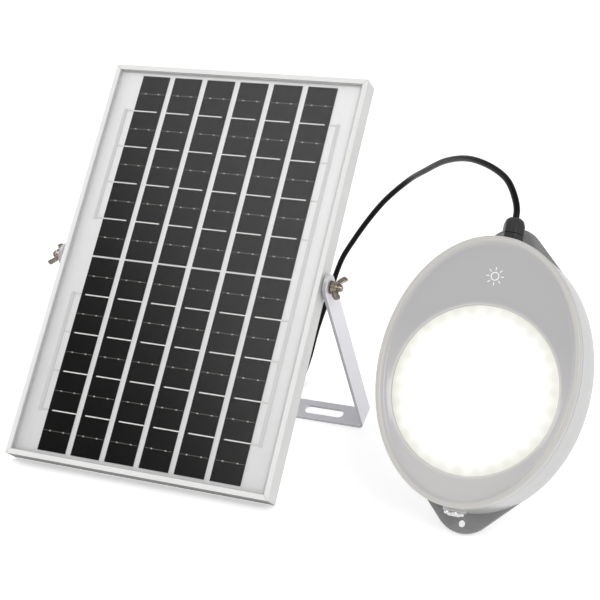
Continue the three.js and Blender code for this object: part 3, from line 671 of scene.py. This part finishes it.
def add_cable(materials):
    into_box = [Vector(BOX_RUN[0]) - Vector((9, 0, 0))]
    into_lamp = [Vector(LAMP_RUN[-1]) - Vector((0.2, 4.7, 8.8))]
    line = into_box + smooth_run(BOX_RUN) + coil_run() + smooth_run(LAMP_RUN) + into_lamp
    line = even_steps(line, CORD["step"])
    shift = Vector((*PLAN_CENTRE, 0))
    line = [p - shift for p in line]
    mesh = mesh_from("cable", *tube_around(line, CORD["diameter"] / 2, CORD["sides"]), smooth=60)
    cable = bpy.data.objects.new("cable", mesh)
    bpy.context.scene.collection.objects.link(cable)
    mesh.materials.append(materials["cable"])
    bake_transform(cable)
    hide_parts("cord_coil", "cord_box_run", "cord_lamp_run")


# --------------------------------------------------------------------- panel
def strip_edges(column):
    x = (column - (CELL["columns"] - 1) / 2) * CELL["pitch"]
    return x - CELL["width"] / 2, x + CELL["width"] / 2


def rows_of(sign, parts):
    """Heights of the lines that share one half of the panel into equal parts."""
    step = CELL["height"] / parts
    return [sign * (CELL["half_gap"] / 2 + step * k) for k in range(1, parts)]


def ribbon_bar(x, y, z, width):
    """A flat ribbon with rounded shoulders, along X."""
    half = width / 2
    low, high = z
    shoulder, crown = low + 0.1, half * 0.7
    section = [(-half, low), (half, low), (half, shoulder), (crown, high), (-crown, high), (-half, shoulder)]
    rings = [[(end, y + a, b) for a, b in section] for end in x]
    points, faces = loft(rings)
    size = len(section)
    return points, faces + [tuple(range(size)), tuple(range(2 * size - 1, size - 1, -1))]


def add_ribbons(materials):
    for half, sign in (("upper", 1), ("lower", -1)):
        bars = []
        for y in rows_of(sign, RIBBON_ROWS):
            for column in range(CELL["columns"]):
                low, high = strip_edges(column)
                ends = (low - RIBBON["tuck"], high - RIBBON["short_of_edge"])
                if sign < 0:
                    ends = (low + RIBBON["short_of_edge"], high + RIBBON["tuck"])
                bars.append(ribbon_bar(ends, y, RIBBON_Z, RIBBON["width"]))
        piece(f"ribbons_{half}", joined(bars), PANEL_FRAME, "panel",
              materials["ribbon"], [f"string_ribbons_{half}"])


def add_busbars(materials):
    """Thin printed lines between the ribbons, with two solder dots on each strip."""
    inset, r = BUSBAR["inset"], SOLDER_DOT["r"]
    foot, shoulder, crown = SOLDER_DOT["z"]
    dot = [(0, foot), (r, foot), (r * 0.6, shoulder), (0, crown)]
    for half, sign in (("upper", 1), ("lower", -1)):
        step = CELL["height"] / RIBBON_ROWS
        parts = []
        for k in range(RIBBON_ROWS):
            y = sign * (CELL["half_gap"] / 2 + step * (k + 0.5))
            for column in range(CELL["columns"]):
                low, high = strip_edges(column)
                parts.append(ribbon_bar((low + inset, high - inset), y, BUSBAR["z"], BUSBAR["width"]))
                for share in SOLDER_DOT["at"]:
                    parts.append(lathe(dot, (low + share * (high - low), y), 14))
        piece(f"busbars_{half}", joined(parts), PANEL_FRAME, "panel",
              materials["paste"])


def add_bus_ribbons(materials):
    """Collecting ribbons in the margins, with a tab to each row of ribbons beside them."""
    edge = strip_edges(CELL["columns"] - 1)[1]
    out = edge + MARGIN_BUS["outside"]
    half = MARGIN_BUS["half_width"]
    rows = rows_of(1, RIBBON_ROWS)
    low, high = rows[0] - MARGIN_BUS["past_row"], rows[-1] + MARGIN_BUS["past_row"]
    spans = {"right": (out, -high, high), "left_upper": (-out, low, high), "left_lower": (-out, -high, -low)}
    for place, (x, y0, y1) in spans.items():
        outline = [(x - half, y0), (x + half, y0), (x + half, y1), (x - half, y1)]
        shape = rounded_plate(f"bus_{place}", [outline], *MARGIN_BUS["z"], MARGIN_BUS["edge"])
        piece(f"bus_ribbon_{place}", shape, PANEL_FRAME, "panel",
              materials["covered_ribbon"])
        ends = (edge + TAB["from_cell"], abs(x) - TAB["to_bus"])
        near, far = sorted(math.copysign(end, x) for end in ends)
        beside = [y for sign in (1, -1) for y in rows_of(sign, RIBBON_ROWS) if y0 < y < y1]
        tabs = [ribbon_bar((near, far), y, TAB["z"], TAB["width"]) for y in beside]
        piece(f"bus_tabs_{place}", joined(tabs), PANEL_FRAME, "panel",
              materials["covered_ribbon"])


def add_lip_shadow_strip(materials):
    """A grey strip between the frame's lip and the glass: painted shade standing in for the shadow under the
    lip.
    """
    x, y = PANEL["width"] / 2 - PANEL["lip"], PANEL["height"] / 2 - PANEL["lip"]
    rings = []
    for inset, z in ((0.02, -1.32), (0.6, -1.32), (0.45, -1.15), (0.05, -0.95), (0.02, -0.98)):
        a, b = x - inset, y - inset
        rings.append([(-a, -b, z), (a, -b, z), (a, b, z), (-a, b, z)])
    piece("lip_shadow_strip", loft(rings, True), PANEL_FRAME, "panel", materials["lip_shade"])


def add_box_details(materials):
    """Lid screws and side ribs of the junction box."""
    back = BOX["lid_back"]
    head = [(0, back - 0.9), (1.9, back - 0.9), (2.4, back - 0.4), (2.4, back), (0, back)]
    parts = [lathe(head, (x, y), 24) for x in BOX["screws_x"] for y in BOX["screws_y"]]
    piece("junction_box_screws", joined(parts), PANEL_FRAME, "panel", materials["steel"])
    half = BOX_RIB["half"]
    ribs = [slab((x - half, x + half), BOX_RIB[side], BOX_RIB["z"])
            for side in ("below", "above") for x in BOX_RIBS_AT]
    piece("junction_box_ribs", joined(ribs), PANEL_FRAME, "panel", materials["black"],
          bevel=BOX_RIB["bevel"])


# -------------------------------------------------------------- pivot pieces
def wing(turn):
    """One cast wing: an oval section that leans outwards as it rises to a round tip."""
    rings = []
    for x, z, thick, tall in NUT_WINGS:
        section = []
        for k in range(20):
            t = TURN * k / 20
            across = thick * math.copysign(abs(math.cos(t)) ** 0.8, math.cos(t))
            up = tall * math.sin(t)
            section.append((x - up * 0.55, across, z + up * 0.83))
        rings.append(section)
    ends = [[(x, 0, z)] for x, z, _, _ in (NUT_WINGS[0], NUT_WINGS[-1])]
    shape = loft([ends[0], *rings, ends[1]])
    return turned_to(shape, Matrix.Rotation(turn, 4, "Z"))


def wing_nut_mesh(name):
    hub = lathe([(0, 0), (4.9, 0), (5.2, 0.3), (5.2, 1.2), (5.0, 1.6), (4.75, 3.2), (4.6, 4.6),
                 (4.3, 5.0), (0, 5.0)])
    bore = lathe([(0, -3), (3.2, -3), (3.2, 4.3), (3.8, 5.4), (3.8, 12), (0, 12)])
    united = combined(name + "_joined", hub, [wing(0), wing(math.pi)], "UNION")
    shape = ([tuple(v.co / MM) for v in united.vertices], [tuple(p.vertices) for p in united.polygons])
    return combined(name, shape, [bore], "DIFFERENCE")


def thread_shape(start, end, radius, pitch):
    """A screw thread as a stack of fine ridges with a chamfered tip."""
    profile = [(0, start), (radius, start)]
    z = start
    while z < end - 1.2:
        profile += [(radius - 0.28, z + pitch / 2), (radius, z + pitch)]
        z += pitch
    profile += [(radius - 0.6, end), (0, end)]
    return lathe(profile, sides=36)


def add_pivots(materials):
    zinc = materials["zinc"]
    corners = [TURN * k / 6 for k in range(6)]
    hexagon = [(BOLT["head_r"] * math.cos(t), BOLT["head_r"] * math.sin(t)) for t in corners]
    for place, sign in (("left", -1), ("right", 1)):
        axis = Matrix.Rotation(sign * math.pi / 2, 4, "Y")
        seat = PANEL_FRAME @ Matrix.Translation((0, 0, PIVOT_DEPTH * MM)) @ axis
        turn = Matrix.Rotation(sign * NUT_TURN, 4, "Z")
        at_nut = seat @ Matrix.Translation((0, 0, NUT_START * MM)) @ turn
        piece(f"wing_nut_{place}_cast", wing_nut_mesh(f"wing_nut_{place}_cast"), at_nut,
              f"wing_nut_{place}", zinc, [f"wing_nut_{place}"])
        head = rounded_plate(f"bolt_head_{place}", [hexagon], *BOLT["head"], BOLT["head_edge"])
        piece(f"pivot_bolt_head_{place}", head, seat, "panel", zinc)
        shank = thread_shape(**THREAD)
        piece(f"pivot_bolt_thread_{place}", shank, seat, "panel", zinc,
              [f"pivot_bolt_{place}"])


# ---------------------------------------------------------------------- lamp
def wall_oval(z, inset=0.0):
    share = 1 - z / LAMP["front"]
    return oval(LAMP["a"] + LAMP["flare_a"] * share - inset, LAMP["b"] + LAMP["flare_b"] * share - inset, z)


def arc(centre, radius, start, end, steps):
    angles = [math.radians(start + (end - start) * k / steps) for k in range(steps + 1)]
    return [(centre[0] + radius * math.cos(t), centre[1] + radius * math.sin(t)) for t in angles]


def add_lamp_shell(materials):
    edge = 2.0
    rounding = [wall_oval(z, -x) for x, z in arc((-edge, edge), edge, -90, 0, 6)]
    top = LAMP["wall_top"]
    inner = [wall_oval(top - 0.2, 0.0), wall_oval(top, 0.2), wall_oval(top, LAMP_WALL - 0.2),
             wall_oval(top - 0.2, LAMP_WALL), wall_oval(6, LAMP_WALL + 0.4), wall_oval(4, LAMP_WALL + 1.2),
             wall_oval(3, LAMP_WALL + 3)]
    rings = [oval(0, 0, 0), *rounding, wall_oval(12), wall_oval(22), *inner, oval(0, 0, 3)]
    r, depth = SCREW_RECESS["radius"], SCREW_RECESS["depth"]
    recesses = [lathe([(0, -1), (r, -1), (r, depth), (0, depth)], at, 32) for at in SCREWS]
    mesh = combined("lamp_shell", loft(rings), recesses, "DIFFERENCE")
    piece("lamp_shell", mesh, LAMP_FRAME, "base", materials["lamp_side"], ["lamp_housing"])


def add_ears(materials):
    """Mounting ears, joined to the wall by flanks at 45 degrees."""
    centre = EAR["tip"] - EAR["radius"]
    run = EAR_FLANK
    hole = arc((0, EAR["hole_y"]), EAR["hole_r"], 0, 350, 35)
    outline = arc((0, centre), EAR["radius"], 45, 135, 40)
    corner = EAR["radius"] * math.sqrt(0.5)
    outline += [(-corner - run, centre + corner - run), (corner + run, centre + corner - run)]
    for place, turn in (("upper", 0.0), ("lower", math.pi)):
        mesh = rounded_plate(f"ear_{place}", [outline, hole], 0.05, EAR["thickness"] - 0.05, 0.7)
        at = LAMP_FRAME @ Matrix.Rotation(turn, 4, "Z")
        piece(f"lamp_ear_{place}", mesh, at, "base", materials["lamp_body"])


def add_wall_seats(materials):
    """Flat round seats on the wall for the cable gland and the switch."""
    for name, along, x, z in WALL_SEATS:
        at = Matrix.Translation((x * MM, 0, z * MM)) @ Matrix.Rotation(-along * math.pi / 2, 4, "X")
        piece(name, lathe(SEAT_PROFILE), LAMP_FRAME @ at, "base", materials["lamp_side"])


def add_lamp_cover(materials):
    a, b = LAMP["a"], LAMP["b"]

    def rim(inset, z):
        return oval(a - inset, b - inset, z)

    def hole(radius, z):
        return oval(radius, radius, z, LENS["y"])

    outer = [(inset, 38.9 + dz) for inset, dz in ((-0.1, 0), (0.0, 0.45), (0.32, 0.86), (0.85, 1.1))]
    profile = [rim(0.35, 33.2), rim(-0.05, 33.35)] + [rim(*p) for p in outer]
    profile += [rim(2.6, 40), rim(3.3, 39.8), rim(4.0, 39.3), rim(5.0, 38.1), rim(5.7, 37.4),
                rim(6.6, 37.05), rim(7.6, 36.95)]
    start, end = rim(7.6, 36.95), hole(63.4, 35.6)
    for share, z in ((0.25, 36.6), (0.5, 36.25), (0.75, 35.95), (0.93, 35.7)):
        profile.append([(p[0] + (q[0] - p[0]) * share, p[1] + (q[1] - p[1]) * share, z)
                        for p, q in zip(start, end)])
    profile += [hole(63.3, 35.5), hole(62.9, 35.3), hole(62.6, 34.9), hole(62.6, 32.2), hole(64, 32.0),
                rim(6.2, 34), rim(0.8, 34), rim(0.8, 33.2)]
    piece("lamp_cover", loft(profile, True), LAMP_FRAME, "base",
          materials["lamp_cover"], ["lamp_bezel"], smooth=50)


def add_diffuser(materials):
    r = LENS["r"]
    profile = [(0, 36), (16, 35.98), (30, 35.9), (42, 35.75), (54, 35.4), (59, 35.1), (61.4, 34.9),
               (62.1, 34.5), (r, 34.0), (r, 31.6), (66, 31.6), (66, 30), (60, 30), (60, 33),
               (54, 33.7), (0, 34.2)]
    piece("lit_diffuser", lathe(profile, (0, LENS["y"]), 192), LAMP_FRAME, "base",
          materials["diffuser"], ["diffuser"])


def add_sun_mark(materials):
    """A small generic sun printed on the cover."""
    low, high = SUN["ring"]
    ink = (0, SUN["ink"])
    parts = [lathe([(low, ink[0]), (high, ink[0]), (high, ink[1]), (low, ink[1])])]
    for k in range(SUN["rays"]):
        ray = slab(SUN["ray_x"], SUN["ray_y"], ink)
        parts.append(turned_to(ray, Matrix.Rotation(TURN * k / SUN["rays"], 4, "Z")))
    at = Matrix.Translation((0, SUN["y"] * MM, SUN["z"] * MM)) @ Matrix.Rotation(SUN["slope"], 4, "X")
    piece("sun_mark", joined(parts), LAMP_FRAME @ at, "base", materials["print"])


# ----------------------------------------------------------- carried-over CAD
CARRIED = [
    (("frame_top", "frame_bottom"), "anodised_across", 0.35),
    (("frame_left", "frame_right"), "anodised_upright", 0.35),
    (("front_glass",), "glass", 0),
    (("backsheet",), "backsheet", 0),
    (("cell_",), "silicon", 0),
    (("bracket",), "bracket", 0.45),
    (("corner_key",), "steel", 0.2),
    (("flat_washer",), "zinc", 0.2),
    (("spacer",), "nylon", 0.2),
    (("junction_box", "gland_body", "gland_cap", "gland_locknut", "battery_holder"), "black", 0.35),
    (("gland_seal", "cover_seal"), "rubber", 0),
    (("cord_tie",), "strap", 0.3),
    (("led_board",), "board", 0.1),
    (("control_board",), "circuit", 0.15),
    (("battery_cell",), "battery", 0.3),
    (("cover_screw", "switch_body", "power_button"), "steel", 0.2),
]


def finish_cad_nodes(materials):
    for starts, key, bevel in CARRIED:
        for name, node in NODES.items():
            if not name.startswith(starts) or node.hide_render:
                continue
            node.data.materials.clear()
            node.data.materials.append(materials[key])
            if bevel:
                soften(node, bevel)


# --------------------------------------------------------------------- stage
def add_floor():
    n = Nodes("studio_floor")
    n.set(Base_Color=n.mix(n.noise(3, 2), (0.90, 0.90, 0.90), (0.92, 0.92, 0.92)), Roughness=0.9)
    n.set(Specular_IOR_Level=0.1, Emission_Color=(1, 1, 1, 1), Emission_Strength=0.36)
    mesh = bpy.data.meshes.new("floor")
    h, z = FLOOR["half"], FLOOR["z"]
    mesh.from_pydata([(-h, -h, z), (h, -h, z), (h, h, z), (-h, h, z)], [], [(0, 1, 2, 3)])
    floor = bpy.data.objects.new("floor", mesh)
    bpy.context.scene.collection.objects.link(floor)
    mesh.materials.append(n.material)


def add_world():
    """Studio surround: a dark band that rises to the left, a bright one over it, even light above."""
    world = bpy.data.worlds.new("studio")
    world.use_nodes = True
    bpy.context.scene.world = world
    tree = world.node_tree
    coords = tree.nodes.new("ShaderNodeTexCoord")
    tilt = tree.nodes.new("ShaderNodeVectorMath")
    tilt.operation = "DOT_PRODUCT"
    tilt.inputs[1].default_value = (0.8, 0, 1)
    ramp = tree.nodes.new("ShaderNodeValToRGB")
    tree.links.new(coords.outputs["Generated"], tilt.inputs[0])
    tree.links.new(tilt.outputs["Value"], ramp.inputs[0])
    background = tree.nodes["Background"]
    tree.links.new(ramp.outputs[0], background.inputs["Color"])
    background.inputs["Strength"].default_value = 1.14
    stops = [(0.0, 0.6), (0.05, 0.6), (0.12, 0.03), (0.2, 0.04), (0.27, 0.17),
             (0.35, 0.8), (0.45, 1.15), (0.58, 1.1), (0.7, 0.62), (1.0, 0.62)]
    elements = ramp.color_ramp.elements
    while len(elements) < len(stops):
        elements.new(0.5)
    for element, (position, value) in zip(elements, stops):
        element.position = position
        element.color = (value, value, value, 1)


def add_light(name, place, target, size, watts):
    data = bpy.data.lights.new(name, "AREA")
    data.shape = "DISK"
    data.size = size
    data.energy = watts
    light = bpy.data.objects.new(name, data)
    bpy.context.scene.collection.objects.link(light)
    light.location = place
    light.rotation_euler = (Vector(target) - Vector(place)).to_track_quat("-Z", "Y").to_euler()


def add_studio():
    bpy.context.scene.view_settings.view_transform = "Standard"
    add_floor()
    add_world()
    add_light("key", (1.3, -1.3, 1.5), (0.05, 0, 0.12), 1.1, 15.5)
    add_light("left_fill", (-1.8, -0.3, 0.9), (0, 0, 0.12), 1.2, 9)


# --------------------------------------------------------------------- build
add_camera()
MATERIALS = make_materials()
add_cable(MATERIALS)
add_studio()
add_ribbons(MATERIALS)
add_busbars(MATERIALS)
add_bus_ribbons(MATERIALS)
add_lip_shadow_strip(MATERIALS)
add_box_details(MATERIALS)
add_pivots(MATERIALS)
add_lamp_shell(MATERIALS)
add_ears(MATERIALS)
add_wall_seats(MATERIALS)
add_lamp_cover(MATERIALS)
add_diffuser(MATERIALS)
add_sun_mark(MATERIALS)
finish_cad_nodes(MATERIALS)
